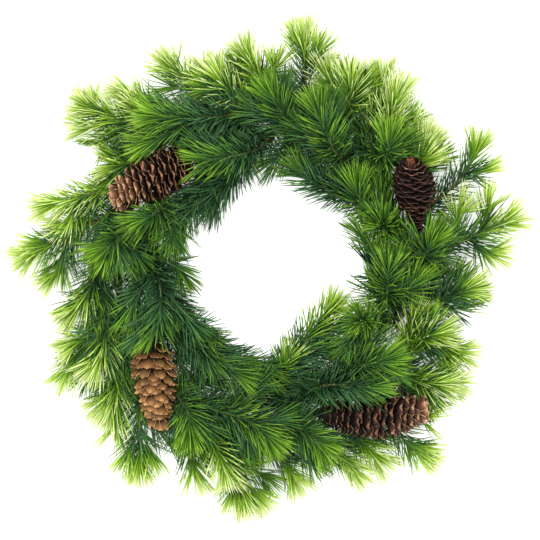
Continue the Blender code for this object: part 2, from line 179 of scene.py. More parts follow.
moulded_bark, tree, shader = new_material("moulded_bark", Roughness=0.72, IOR=1.5)
chart = node(tree, "ShaderNodeUVMap", {"uv_map": "OFBake"}).outputs["UV"]
ridged = node(tree, "ShaderNodeMapping", Vector=chart, Scale=(30.0, 90.0, 1.0))
ridges = node(
    tree, "ShaderNodeTexNoise",
    Vector=ridged.outputs["Vector"], Scale=1.0, Detail=3.0, Roughness=0.6,
)
browns = node(tree, "ShaderNodeValToRGB", stops=BARK_BROWNS, Fac=ridges.outputs["Fac"])
along_stem = node(tree, "ShaderNodeSeparateXYZ", Vector=chart).outputs["X"]
youth = node(
    tree, "ShaderNodeMapRange", Value=along_stem, From_Min=0.30, From_Max=0.75, To_Max=0.85,
)
greened = node(
    tree, "ShaderNodeMix", {"data_type": "RGBA"},
    _0=youth.outputs["Result"], _6=browns.outputs["Color"], _7=linear(YOUNG_BARK),
)
tree.links.new(greened.outputs[2], shader.inputs["Base Color"])
bump = node(
    tree, "ShaderNodeBump", Strength=0.5, Distance=0.3 * MM, Height=ridges.outputs["Fac"],
)
tree.links.new(bump.outputs["Normal"], shader.inputs["Normal"])
print("bark material", moulded_bark.name)

# %% [markdown]
# ## Where things grow
#
# A sprig's foot sits against the ring, and its stem bends from there to its end in one smooth
# curve. The same numbers as in the solid model are used here, so each fine sprig lies where its
# solid does. Headings are in degrees, anticlockwise from the right as the camera sees it.

# %% The ring's place and size
ring_low, ring_high = (np.array(corner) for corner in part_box("ring_frame"))
MIDDLE = (ring_low + ring_high) / 2 * [1, 1, 0]
RING_RADIUS = 145 * MM
WIRE_RADIUS = 4 * MM
RING_HEIGHT = WIRE_RADIUS * math.cos(math.pi / 8)
STEM_RADIUS = 1.9 * MM
STALK_RADIUS = 2.2 * MM
SEAT_GAP = 0.2 * MM
STRAIGHT_FOOT = 3 * MM
BEND_PULL = 0.36
print("ring middle", MIDDLE.round(5), "height", round(RING_HEIGHT, 5))


# %% Curves from foot to end
def pointing(heading, pitch):
    """The direction with this heading and this pitch above the level."""
    turn, rise = math.radians(heading), math.radians(pitch)
    level = math.cos(rise)
    return np.array([math.cos(turn) * level, math.sin(turn) * level, math.sin(rise)])


def seat(bearing, side, foot_radius, swing):
    """A foot's centre against the ring, and the way its stem leaves. side 0 is outside, 90 on top."""
    out = pointing(bearing, 0)
    rise = math.radians(side)
    away = out * math.cos(rise) + np.array([0, 0, math.sin(rise)])
    leaving = unit(away + swing * pointing(bearing + 90, 0))
    tilt = math.sqrt(1 - float(leaving @ away) ** 2)
    middle = out * RING_RADIUS + np.array([0, 0, RING_HEIGHT])
    return middle + away * (WIRE_RADIUS + foot_radius * tilt + SEAT_GAP), leaving


def curve(start, leaving, end, arriving, points=25):
    """Points along a short straight foot and a smooth bend after it."""
    foot, start = start, start + leaving * STRAIGHT_FOOT
    pull = BEND_PULL * np.linalg.norm(end - start)
    share = np.linspace(0, 1, points - 1)[:, None]
    rest = 1 - share
    bend = rest**3 * start + 3 * rest**2 * share * (start + pull * leaving)
    bend += 3 * rest * share**2 * (end - pull * arriving) + share**3 * end
    return np.concatenate([[foot], bend])


def length_of(path):
    """The length of a path of points."""
    return float(np.linalg.norm(np.diff(path, axis=0), axis=1).sum())


def along(path, shares):
    """The points and directions at these shares of a path's length."""
    steps = np.linalg.norm(np.diff(path, axis=0), axis=1)
    travelled = np.concatenate([[0], np.cumsum(steps)]) / steps.sum()
    ways = unit(np.gradient(path, axis=0))
    places = np.stack([np.interp(shares, travelled, path[:, k]) for k in range(3)], axis=1)
    turned = np.stack([np.interp(shares, travelled, ways[:, k]) for k in range(3)], axis=1)
    return places, unit(turned)


print("a stem leaves the ring at", seat(90, 38, STEM_RADIUS, 0.6)[0].round(4))

# %% [markdown]
# ## The sprigs, one by one
#
# This is the wreath's planting plan, read from the photograph. Each line gives the bearing of
# the foot on the ring, the end of the stem in millimetres from the ring's middle, the way it
# points there and how steeply it rises, how far its middle is lifted to pass over a neighbour,
# and how much of it is old dark growth. A fork leaves the stem at a share of its length and has
# an end of its own. Twigs are forks too, but they only fill a gap beside the stem. Where the
# photograph shows white between two sprigs, a small round gap is kept free of needles.
#
# The sprigs lie in three layers, each with a habit: on which side of the wire its stems sit, in
# degrees up from the outside, how far they swing along the ring, how fresh their ends are, on
# which hand the first side shoot grows, and where its random draws start.

# %% The planting plan
LOW_PITCH, USUAL_OLD = 4, 0.35
Sprig = namedtuple(
    "Sprig", "root end heading pitch lift old fresh fork twigs",
    defaults=(LOW_PITCH, 0, USUAL_OLD, None, None, ()),
)
Fork = namedtuple("Fork", "share end heading")
Habit = namedtuple("Habit", "side swing fresh hand seed plan")

OUTER = [
    Sprig(2, (225, 45, 32), 25, old=0.4, fork=Fork(0.50, (209, 16, 24), 6),
          twigs=[Fork(0.62, (208, 60, 34), 58), Fork(0.40, (180, 54, 34), 40)]),
    Sprig(18, (196, 112, 30), 76, old=0.6, fork=Fork(0.62, (202, 92, 34), 16)),
    Sprig(30, (144, 102, 50), 45, old=0.05, twigs=[Fork(0.70, (149, 117, 40), 52)]),
    Sprig(44, (119, 160, 34), 75, old=0.0, fork=Fork(0.45, (136, 129, 26), 50),
          twigs=[Fork(0.75, (122, 166, 32), 74)]),
    Sprig(52, (107, 179, 24), 95, old=0.0),
    Sprig(60, (77, 177, 40), 94, old=0.2, fork=Fork(0.40, (55, 183, 34), 98)),
    Sprig(74, (32, 217, 34), 100, old=0.45,
          twigs=[Fork(0.60, (46, 206, 32), 78), Fork(0.75, (29, 212, 32), 104)]),
    Sprig(84, (-21, 202, 28), 116, old=0.25, twigs=[Fork(0.60, (5, 191, 28), 100)]),
    Sprig(92, (-47, 180, 44), 118, old=0.1, twigs=[Fork(0.70, (-61, 185, 36), 98)]),
    Sprig(104, (-94, 191, 28), 148, twigs=[Fork(0.75, (-90, 188, 30), 106)]),
    Sprig(114, (-125, 150, 26), 146, fork=Fork(0.50, (-134, 168, 24), 160)),
    Sprig(124, (-171, 153, 30), 160, fork=Fork(0.50, (-171, 134, 22), 180),
          twigs=[Fork(0.75, (-166, 153, 30), 106)]),
    Sprig(136, (-145, 98, 30), 176, old=0.4),
    Sprig(147, (-207, 61, 34), 189, old=0.1, twigs=[Fork(0.60, (-193, 43, 26), 200)]),
    Sprig(158, (-226, 13, 30), 203, old=0.5, fork=Fork(0.50, (-203, -6, 22), 222),
          twigs=[Fork(0.70, (-216, 24, 30), 197)]),
    Sprig(174, (-184, -39, 30), 217, old=0.3),
    Sprig(186, (-163, -89, 36), 226, twigs=[Fork(0.55, (-184, -70, 32), 224)]),
    Sprig(194, (-192, -99, 26), 242, old=0.5),
    Sprig(206, (-151, -131, 30), 235, fork=Fork(0.55, (-146, -152, 24), 250),
          twigs=[Fork(0.55, (-156, -124, 28), 228)]),
    Sprig(218, (-123, -184, 30), 268, old=0.6,
          twigs=[Fork(0.60, (-132, -172, 28), 260), Fork(0.60, (-113, -174, 28), 276)]),
    Sprig(234, (-71, -193, 24), 280, old=0.55),
    Sprig(244, (-42, -188, 46), 285, old=0.3),
    Sprig(252, (-23, -216, 28), 293, old=0.5,
          twigs=[Fork(0.65, (-34, -211, 28), 268), Fork(0.70, (-12, -212, 28), 300)]),
    Sprig(262, (23, -196, 26), 296, old=0.5),
    Sprig(280, (79, -188, 28), 316, old=0.45),
    Sprig(292, (102, -178, 24), 318, old=0.4),
    Sprig(304, (142, -176, 26), 322, old=0.55, fork=Fork(0.50, (146, -143, 24), 338),
          twigs=[Fork(0.72, (143, -169, 26), 334)]),
    Sprig(318, (159, -110, 34), 355, old=0.2,
          twigs=[Fork(0.10, (138, -50, 30), 60), Fork(0.70, (170, -108, 32), 345)]),
    Sprig(330, (156, -62, 40), 4, old=0.25, fork=Fork(0.50, (178, -78, 28), 352)),
    Sprig(344, (188, -20, 32), 10, old=0.5),
]
INNER = [
    Sprig(16, (106, 42, 66), 120, 60, old=0.0, fork=Fork(0.40, (103, 74, 40), 100)),
    Sprig(24, (83, 75, 58), 92, 14, old=0.3),
    Sprig(32, (29, 91, 50), 140, 6, old=0.65),
    Sprig(48, (45, 146, 78), 112, 10, old=0.2),
    Sprig(70, (3, 160, 70), 125, 10, old=0.4),
    Sprig(86, (-61, 101, 74), 188, old=0.4),
    Sprig(97, (-51, 72, 42), 215, old=0.95,
          twigs=[Fork(0.55, (-52, 62, 40), 242), Fork(0.20, (-24, 107, 36), 262)]),
    Sprig(112, (-87, 35, 50), 232, old=0.55, twigs=[Fork(0.35, (-84, 37, 46), 282)]),
    Sprig(141, (-116, 46, 72), 205, 8, lift=-4, old=0.2),
    Sprig(168, (-106, -62, 80), 252, old=0.55, fork=Fork(0.35, (-128, -40, 58), 262),
          twigs=[Fork(0.15, (-84, -3, 50), 286), Fork(0.25, (-86, -32, 48), 292)]),
    Sprig(198, (-54, -83, 46), 308, old=0.6, fork=Fork(0.62, (-30, -98, 54), 338),
          twigs=[Fork(0.60, (-31, -86, 40), 328), Fork(0.70, (-3, -94, 44), 344),
                 Fork(0.45, (-61, -61, 44), 318), Fork(0.25, (-80, -98, 28), 282)]),
    Sprig(256, (50, -106, 34), 333, old=0.7),
    Sprig(268, (57, -39, 48), 46, 8, lift=8, old=0.45, fresh=0.95, fork=Fork(0.50, (74, -72, 44), 15),
          twigs=[Fork(0.30, (15, -87, 44), 56)]),
    Sprig(282, (95, -110, 76), 352, 6, old=0.6),
    Sprig(300, (107, -85, 82), 12, 8, old=0.2),
    Sprig(335, (85, -47, 88), 160, 66, old=0.1),
    Sprig(342, (111, -1, 76), 86, 20, old=0.2, fork=Fork(0.40, (134, -14, 62), 62),
          twigs=[Fork(0.55, (89, 31, 56), 122), Fork(0.30, (97, -18, 50), 96)]),
    Sprig(352, (96, 6, 36), 88, old=0.95),
]
FRONT = [
    Sprig(358, (150, 23, 74), 66, 25, old=0.2),
    Sprig(46, (112, 118, 70), 96, 12, old=0.1),
    Sprig(90, (-106, 143, 66), 168, 6, old=0.45, fork=Fork(0.50, (-112, 118, 60), 200)),
    Sprig(160, (-151, 20, 66), 215, 8, old=0.3),
    Sprig(226, (-74, -150, 64), 266, 8, lift=-4, old=0.3),
    Sprig(238, (-2, -157, 68), 305, 8, old=0.3),
    Sprig(270, (47, -164, 62), 311, 8, old=0.4),
]
# The gaps between sprigs: x, y and radius in millimetres
GAPS = [
    (-178, 104, 11), (-192, 114, 7), (-141, 192, 8), (227, 83, 9), (218, 114, 6),
    (-205, -31, 6), (-192, -129, 6), (-213, -121, 5), (-155, -172, 6), (-93, -183, 6),
    (-73, -219, 5), (2, -201, 9), (203, -49, 6), (150, -199, 4), (169, -150, 9),
    (79, 4, 8), (80, 14, 6), (-71, 19, 5), (-70, 212, 6), (-110, 177, 5), (-101, 173, 5),
    (-92, 170, 4),
]
LAYERS = {
    "outer": Habit(38, 0.6, 1.0, 1, 100, OUTER),
    "inner": Habit(146, 0.25, 0.45, -1, 200, INNER),
    "front": Habit(80, 0.6, 0.5, 1, 300, FRONT),
}
print("sprigs", {layer: len(habit.plan) for layer, habit in LAYERS.items()})


# %% Stem paths from the plan
def stem_path(sprig, habit):
    """The main stem's path, lifted in its middle."""
    start, leaving = seat(sprig.root, habit.side, STEM_RADIUS, habit.swing)
    lift = sprig.lift * MM
    end = np.array(sprig.end) * MM + [0, 0, lift / 2]
    path = curve(start, leaving, end, pointing(sprig.heading, sprig.pitch))
    path[1:, 2] += lift * np.sin(np.linspace(0, math.pi, len(path) - 1))
    return path


def fork_path(fork, lift, path):
    """A fork's or twig's path, from inside the main stem to its own end."""
    start = along(path, [fork.share])[0][0]
    end = np.array(fork.end) * MM + [0, 0, lift * MM / 2]
    return curve(start, unit(path[-1] - start), end, pointing(fork.heading, LOW_PITCH))


first_stem = stem_path(OUTER[0], LAYERS["outer"])
print("first stem is", round(length_of(first_stem) / MM), "mm long")

# %% [markdown]
# ## Cones in the way
#
# Each of the four cones has a profile of its own, read from the photograph: the radius over the
# lips of its scales at nine places from base to tip, in millimetres. The one at the upper right
# sits on a slim neck, and two of them bow a little to one side. No needle may run through a cone,
# so needles that would enter a profile are left out. So are those that would hide a cone from
# above, as if plucked back. Only a cone's base stays tucked in, and the one at the lower right is
# also overlapped along the side that faces the wreath's middle.

# %% The cones' places and profiles
Cone = namedtuple("Cone", "root middle heading pitch length bow tucked inner_side profile")
CONE_FROM, CONE_TO = -0.02, 1.03
OPEN_SIDE, OVERLAP_TO = 0.72, 0.66
CONES = [
    Cone(122, (-110, 85, 50), 209, 4, 82, 0, 0.15, OPEN_SIDE,
         (16, 19, 21, 22.7, 22.7, 21.8, 19, 15.5, 8)),
    Cone(5, (134, 65, 54), 98, 32, 84, -4, 0.12, OPEN_SIDE,
         (6, 6.5, 7.5, 11.5, 20, 21.3, 19, 14.5, 6)),
    Cone(203, (-107, -107, 50), 275, -10, 84, 0, 0.18, OPEN_SIDE,
         (17, 20.5, 22.5, 23.7, 22.2, 20.2, 16, 11, 5)),
    Cone(289, (97, -133, 46), 5, 6, 98, -6, 0.02, 0.10,
         (9.5, 13, 16, 20, 22.3, 22.8, 21, 17.5, 8)),
]
PROFILE_SHARES = (0, 0.1, 0.2, 0.35, 0.5, 0.65, 0.8, 0.9, 1)


def cone_ends(cone):
    """The cone's base and tip."""
    reach = pointing(cone.heading, cone.pitch) * cone.length * MM / 2
    middle = np.array(cone.middle) * MM
    return middle - reach, middle + reach


def cone_bow(cone, share):
    """How far the cone's middle line is off its straight axis at these shares of its length."""
    out = 4 * share * (1 - share) * cone.bow * MM
    return np.asarray(out)[..., None] * pointing(cone.heading + 90, 0)


def cone_radius(cone, share):
    """The radius over the lips of the scales."""
    return np.interp(share, PROFILE_SHARES, cone.profile) * MM


def inside_a_cone(points, room=0.0):
    """Which of the points lie inside any cone's profile, made wider by room."""
    inside = np.zeros(points.shape[:-1], bool)
    for cone in CONES:
        base, tip = cone_ends(cone)
        axis = unit(tip - base)
        offset = points - base
        travelled = offset @ axis
        share = travelled / np.linalg.norm(tip - base)
        crosswise = np.linalg.norm(offset - travelled[..., None] * axis - cone_bow(cone, share), axis=-1)
        lengthwise = (share > CONE_FROM) & (share < CONE_TO)
        inside |= lengthwise & (crosswise < cone_radius(cone, share) + room)
    return inside


def hides_a_cone(points):
    """Which of the points lie over the middle of a cone as it is seen from above."""
    hiding = np.zeros(points.shape[:-1], bool)
    for cone in CONES:
        base, tip = cone_ends(cone)
        level = (tip - base) * [1, 1, 0]
        share = (points - base) @ level / (level @ level)
        offset = points - base - share[..., None] * (tip - base) - cone_bow(cone, share)
        inwards = offset @ np.cross([0, 0, 1.0], unit(level)) / cone_radius(cone, share)
        inner_side = np.where(share < OVERLAP_TO, cone.inner_side, OPEN_SIDE)
        lengthwise = (share > cone.tucked) & (share < 1.0)
        hiding |= lengthwise & (inwards > -OPEN_SIDE) & (inwards < inner_side) & (offset[..., 2] > 0)
    return hiding


print("cone tips at", [tuple((cone_ends(cone)[1] / MM).round()) for cone in CONES])

# %% [markdown]
# ## Growing needles
#
# Needles stand all round the stem. Each next one is turned by the golden angle, as buds are, so
# no two stand in a row, and all are pressed a little flatter than round, as the sprigs lie
# down. Old ones lean well out from the stem, young ones lie closer to it, and the last ones make
# a blunt brush. Each is a three-sided blade with a slight forward curve, about 30 mm long and
# under 1.5 mm thick. They are built as arrays, because a loop over tens of thousands would be slow.
#
# A shoot has a bare foot, a number of needles in its last brush and a fullness, and it says how
# much of it is old growth and how fresh the rest is.

# %% Needle shapes
GOLDEN = math.radians(137.508)
NEEDLE_LENGTH = 30 * MM
NEEDLES_PER_MM = 2.05
FLATTEN = 0.9
# How far the needles lean, in degrees, at these distances from the end, in needle lengths
LEAN_AT = (0, 0.25, 1, 2.5)
LEANS = (28, 38, 47, 54)
TUFT_LEAN = 46
# Where the needles are painted paler, as painted light, by their distance from the wreath's middle
FAR_OUT = (155 * MM, 190 * MM)
# The growth at a needle's foot, the painted light that makes it paler if it is far out, and the growth
# if it is young
OLD_GROWTH, FAR_PAINTED_LIGHT, YOUNG_GROWTH = 0.03, 0.08, 0.34
# The painted shade that makes each needle darker at its foot than at its tip, and how much a young tip
# adds
FOOT_PAINTED_SHADE, YOUNG_TIP_GROWTH = 0.20, 0.38
# The range of the shades, the shade that young needles come near, and how near
SHADES, YOUNG_SHADE, ALIKE = (0.02, 0.86), 0.56, 0.55
# The share of the old needles far out that have fallen
FALLEN = 0.45
Shoot = namedtuple("Shoot", "path old fresh foot tuft fullness", defaults=(1.0,))


def crosswise_of(ways):
    """Two unit vectors across each direction."""
    up = np.where(np.abs(ways[:, 2:]) > 0.9, [[1.0, 0, 0]], [[0, 0, 1.0]])
    side = unit(np.cross(ways, up))
    return side, np.cross(side, ways)


def needle_colours(shoot, shares, places, draw):
    """Each needle's growth at its foot and its tip, its shade, and whether it hasn't fallen yet."""
    young = np.clip((shares - shoot.old - 0.04) / 0.42, 0, 1)
    young = shoot.fresh * young * young * (3 - 2 * young)
    far = np.interp(np.hypot(places[:, 0], places[:, 1]), FAR_OUT, (0, 1))
    # Far out a needle is painted paler, as painted light, and its foot is painted darker than its tip,
    # as painted shade near the stem
    growth = OLD_GROWTH + FAR_PAINTED_LIGHT * far + YOUNG_GROWTH * young + draw.normal(0, 0.03, len(shares))
    tips = growth + FOOT_PAINTED_SHADE + YOUNG_TIP_GROWTH * young
    shades = draw.uniform(*SHADES, len(shares))
    shades += (YOUNG_SHADE - shades) * ALIKE * young
    fallen = FALLEN * far * (1 - np.clip(2 * young, 0, 1))
    return growth, tips, shades, draw.uniform(0, 1, len(shares)) > fallen


def grow(shoot, draw):
    """Roots, directions, curls, lengths, growth, tips and shades of the needles on one shoot."""
    total = length_of(shoot.path)
    count = int(total / MM * NEEDLES_PER_MM * shoot.fullness * (1 - shoot.foot))
    shares = shoot.foot + (1 - shoot.foot) * (np.arange(count) + 0.5) / count
    shares = np.concatenate([shares, draw.uniform(0.95, 1.0, shoot.tuft)])
    places, ways = along(shoot.path, shares)
    left = (1 - shares) * total / NEEDLE_LENGTH
    side, other = crosswise_of(ways)
    azimuth = np.arange(len(shares)) * GOLDEN + draw.normal(0, 0.15, len(shares))
    flat = np.interp(left, (0, 0.6), (1, FLATTEN))[:, None]
    outward = unit(np.cos(azimuth)[:, None] * side + flat * np.sin(azimuth)[:, None] * other)
    lean = np.interp(left, LEAN_AT, LEANS) + draw.normal(0, 6, len(shares))
    lean[count:] = TUFT_LEAN * np.sqrt(draw.uniform(0, 1, shoot.tuft))
    lengths = NEEDLE_LENGTH * draw.uniform(0.84, 1.06, len(shares))
    lengths *= np.interp(left, (0, 0.3, 3.0), (0.92, 1.0, 0.92))
    lengths[count:] *= np.interp(lean[count:], (0, TUFT_LEAN), (0.94, 1.10))
    lean = np.radians(np.clip(lean, 1, 75))[:, None]
    needle_ways = np.cos(lean) * ways + np.sin(lean) * outward
    curl = ways * draw.uniform(0.02, 0.22, (len(shares), 1))
    roots = places + outward * 0.8 * MM
    growth, tips, shades, stays = needle_colours(shoot, shares, places, draw)
    return [values[stays] for values in (roots, needle_ways, curl, lengths, growth, tips, shades)]


first_shoot = Shoot(first_stem, USUAL_OLD, 1.0, foot=0.10, tuft=46)
print("needles on the first stem", len(grow(first_shoot, np.random.default_rng(1))[0]))


# %% Needles as blades
BLADE_SIDES = 3
BLADE_SHARES = (0.0, 0.42, 0.80)
BLADE_RADII = (0.66 * MM, 0.72 * MM, 0.50 * MM)
NEEDLE_POINTS = BLADE_SIDES * len(BLADE_SHARES) + 1
FLOOR_ROOM = 0.6 * MM


def in_a_gap(points):
    """Which of the points lie, seen from above, in a gap between the sprigs."""
    found = np.zeros(points.shape[:-1], bool)
    for x, y, radius in GAPS:
        found |= np.hypot(points[..., 0] - x * MM, points[..., 1] - y * MM) < radius * MM
    return found


def blades(roots, ways, curl, lengths, growth, tips, shades):
    """The needles as one set of points and chart places, without those that are in the way."""
    side, other = crosswise_of(ways)
    reach = lengths[:, None]
    points, places = [], []
    for share, radius in zip(BLADE_SHARES, BLADE_RADII):
        centre = roots + reach * (share * ways + share**2 * curl)
        for k in range(BLADE_SIDES):
            angle = 2 * math.pi * k / BLADE_SIDES
            points.append(centre + radius * (math.cos(angle) * side + math.sin(angle) * other))
            places.append(np.stack([growth + share * (tips - growth), shades + 0.004 * k], axis=1))
    points.append(roots + reach * (ways + curl))
    places.append(np.stack([tips, shades + 0.004], axis=1))
    points = np.stack(points, axis=1)
    places = np.clip(np.stack(places, axis=1), 0.01, 0.99)
    points[:, :, 2] = np.maximum(points[:, :, 2], FLOOR_ROOM)
    blocked = inside_a_cone(points) | hides_a_cone(points)
    outer_end = points[:, -BLADE_SIDES - 1:]
    keep = ~blocked.any(axis=1) & ~in_a_gap(outer_end).any(axis=1)
    return points[keep], places[keep]


SIDES = [(k, (k + 1) % BLADE_SIDES) for k in range(BLADE_SIDES)]
CORNERS = range(0, NEEDLE_POINTS - 1, BLADE_SIDES)
QUADS = np.array([
    (first + a, first + b, first + BLADE_SIDES + b, first + BLADE_SIDES + a)
    for first in CORNERS[:-1] for a, b in SIDES
])
TIPS = np.array([(CORNERS[-1] + a, CORNERS[-1] + b, NEEDLE_POINTS - 1) for a, b in SIDES])
print("faces to a needle", len(QUADS) + len(TIPS))


# %% Stems as tubes
BARK_FROM = 0.91
BARK_WIDTH = 0.08
SCAR_SWELL = 0.10
SCAR_STEP = 2.4


def tube(path, first_radius, last_radius, sides=6, rings=22):
    """A tapered tube's points, faces and chart places, with small swellings like leaf scars."""
    shares = np.linspace(0, 1, rings)
    places, ways = along(path, shares)
    side, other = crosswise_of(ways)
    points, chart_places, faces = [], [], []
    for ring in range(rings):
        radius = first_radius + (last_radius - first_radius) * shares[ring]
        radius *= 1 + SCAR_SWELL * math.sin(ring * SCAR_STEP)
        for k in range(sides):
            angle = 2 * math.pi * k / sides
            offset = math.cos(angle) * side[ring] + math.sin(angle) * other[ring]
            points.append(places[ring] + radius * offset)
            strip = BARK_FROM + BARK_WIDTH * abs(2 * k / sides - 1)
            chart_places.append((0.02 + 0.96 * shares[ring], strip))
            if ring:
                here, last, turn = ring * sides, (ring - 1) * sides, (k + 1) % sides
                faces.append((last + k, last + turn, here + turn, here + k))
    faces.append(tuple(range(sides))[::-1])
    faces.append(tuple((rings - 1) * sides + k for k in range(sides)))
    return np.array(points), faces, np.array(chart_places)


print("tube faces", len(tube(first_stem, STEM_RADIUS, 1 * MM)[1]))

# %% [markdown]
# ## Side shoots
#
# A real branch of spruce carries shorter shoots to its left and right. The solid model leaves
# them out, because each costs it hundreds of faces. Here they fill the wreath between the main
# stems. They follow the sweep of their stem, stay low under it, and keep the dark green of old
# growth, so that the bright ends of the main stems lie on a dark bed. The first one of each
# leans back over the ring and hides it. None may grow into the wreath's hole or past its rim.

# %% Side shoots along a stem
HOLE_MIDDLE = np.array([6, 4]) * MM
HOLE_REACH = 88 * MM
RIM_REACH = 214 * MM
LAST_ROOT = 180 * MM
LONGEST = 44
TRIES = 3
NEEDLE_ROOM = 22 * MM
OVER_THE_RING = 20 * MM
OVER_THE_FLOOR = 8 * MM
SHOOT_SHARES = (0.10, 0.26, 0.42, 0.58, 0.72)
SHOOT_SWINGS = (52, 38, 32, 28, 25)


def turned_by(level, degrees):
    """The direction, turned to the left by these degrees and dipped a little."""
    angle = math.radians(degrees)
    return np.array([
        level[0] * math.cos(angle) - level[1] * math.sin(angle),
        level[0] * math.sin(angle) + level[1] * math.cos(angle),
        level[2] - 0.16,
    ])


def side_shoots(path, hand, draw):
    """The paths of the short shoots that leave a stem left (hand 1) and right (hand -1) of it."""
    total = length_of(path) / MM
    shoots = []
    for share, swing in zip(SHOOT_SHARES, SHOOT_SWINGS):
        start, way = (x[0] for x in along(path, [share]))
        if np.hypot(*start[:2]) > LAST_ROOT:
            continue
        for attempt in range(TRIES):
            turned = turned_by(unit(way * [1, 1, 0.3]), hand * swing * draw.uniform(0.75, 1.25))
            reach = min(LONGEST, 0.58 * total * (1.2 - share)) * draw.uniform(0.85, 1.1) * MM
            end = start + unit(turned) * reach
            end[2] = max(end[2], OVER_THE_RING if share < 0.2 else OVER_THE_FLOOR)
            beyond = end + unit(turned) * NEEDLE_ROOM
            in_hole = np.hypot(*(beyond[:2] - HOLE_MIDDLE)) < HOLE_REACH
            past_rim = np.hypot(*beyond[:2]) > RIM_REACH
            in_cone = inside_a_cone(np.linspace(start, end, 8), 1.5 * MM).any()
            if not (in_hole or past_rim or in_cone):
                shoots.append(curve(start, unit(way + 0.8 * turned), end, unit(turned), 14))
                break
        hand = -hand
    return shoots


print("side shoots", len(side_shoots(first_stem, 1, np.random.default_rng(1))))


# %% The shoots of one sprig
def shoots_of(sprig, habit, main, draw):
    """The main stem of a sprig, its fork, its twigs and its side shoots."""
    old = sprig.old
    fresh = sprig.fresh or habit.fresh
    shoots = [Shoot(main, old, fresh, foot=0.10, tuft=46)]
    if sprig.fork:
        path = fork_path(sprig.fork, sprig.lift, main)
        shoots.append(Shoot(path, old - 0.1, fresh, foot=0.05, tuft=40))
    for twig in sprig.twigs:
        path = fork_path(twig, sprig.lift, main)
        shoots.append(Shoot(path, old, fresh, foot=0.05, tuft=32))
    for path in side_shoots(main, habit.hand, draw):
        shoots.append(Shoot(path, old + 0.1, 0.5 * fresh, foot=0.03, tuft=22, fullness=0.9))
    return shoots


first_shoots = shoots_of(OUTER[0], LAYERS["outer"], first_stem, np.random.default_rng(1))
print("shoots of the first sprig", len(first_shoots))


# %% Build every sprig
MAIN_THICK, SIDE_THICK, END_THICK = 1.7 * MM, 1.2 * MM, 0.9 * MM


def mesh_piece(name, points, faces, chart_places, materials, slots):
    """An object from arrays, with its chart as UV map and its faces smooth."""
    data = bpy.data.meshes.new(name)
    data.from_pydata(points + MIDDLE, [], faces)
    layer = data.uv_layers.new(name="OFBake")
    corners = np.zeros(len(data.loops), dtype=np.int32)
    data.loops.foreach_get("vertex_index", corners)
    layer.data.foreach_set("uv", chart_places[corners].ravel())
    for material in materials:
        data.materials.append(material)
    data.polygons.foreach_set("material_index", np.asarray(slots, dtype=np.int32))
    data.polygons.foreach_set("use_smooth", np.ones(len(faces), dtype=bool))
    data.update()
    made = placed(name, data)
    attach(made, "root")
    return made


def sprig_piece(layer, number, sprig):
    """One sprig with all its shoots, as one piece that replaces its solid."""
    habit = LAYERS[layer]
    draw = np.random.default_rng(habit.seed + number)
    main = stem_path(sprig, habit)
    points, faces, places, slots, start = [], [], [], [], 0
    for shoot in shoots_of(sprig, habit, main, draw):
        thick = MAIN_THICK if shoot.path is main else SIDE_THICK
        skin, skin_faces, skin_places = tube(shoot.path, thick, END_THICK)
        needle_points, needle_places = blades(*grow(shoot, draw))
        count = len(needle_points)
        points += [skin, needle_points.reshape(-1, 3)]
        places += [skin_places, needle_places.reshape(-1, 2)]
        faces += [tuple(corner + start for corner in face) for face in skin_faces]
        start += len(skin)
        firsts = start + NEEDLE_POINTS * np.arange(count)[:, None, None]
        faces += (firsts + QUADS).reshape(-1, 4).tolist()
        faces += (firsts + TIPS).reshape(-1, 3).tolist()
        slots += [0] * len(skin_faces) + [1] * count * (len(QUADS) + len(TIPS))
        start += NEEDLE_POINTS * count
    made = mesh_piece(
        f"spruce_{layer}_{number:02d}", np.concatenate(points), faces, np.concatenate(places),
        [moulded_bark, polyethylene_needles], slots,
    )
    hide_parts(f"sprig_{layer}_{number:02d}")
    return made


face_count = 0
for layer, habit in LAYERS.items():
    for number, sprig in enumerate(habit.plan, 1):
        face_count += len(sprig_piece(layer, number, sprig).data.polygons)
print("faces in all sprigs", face_count)

# %% [markdown]
# ## Cone scales of dry wood
#
# A spruce cone is a spindle of thin woody scales, set in a spiral by the golden angle. Dry and
# open, the scales at its base stand straight out and show their edges, and those at its tip lie
# closed and show their rounded faces. Each scale has its own cell on the cone's chart, so its
# grain and its tone are its own. Within a cell the wood is nearly black at the core, brown on
# the face and pale along the lip. The near black is painted shade, for the hollows between the
# scales and the core deep inside them. The last, reddish wood is for the closed bundle at the
# tip of the cone at the upper right.

# %% The cone material, in five browns
CELLS = 13
# How the fibres are stretched, how far they shift the browns, and how the scales differ in tone
FIBRES = (CELLS * 1.6, CELLS * 9.0, 1.0)
STREAK = 0.20
SCALE_TONES = (0.72, 1.25)


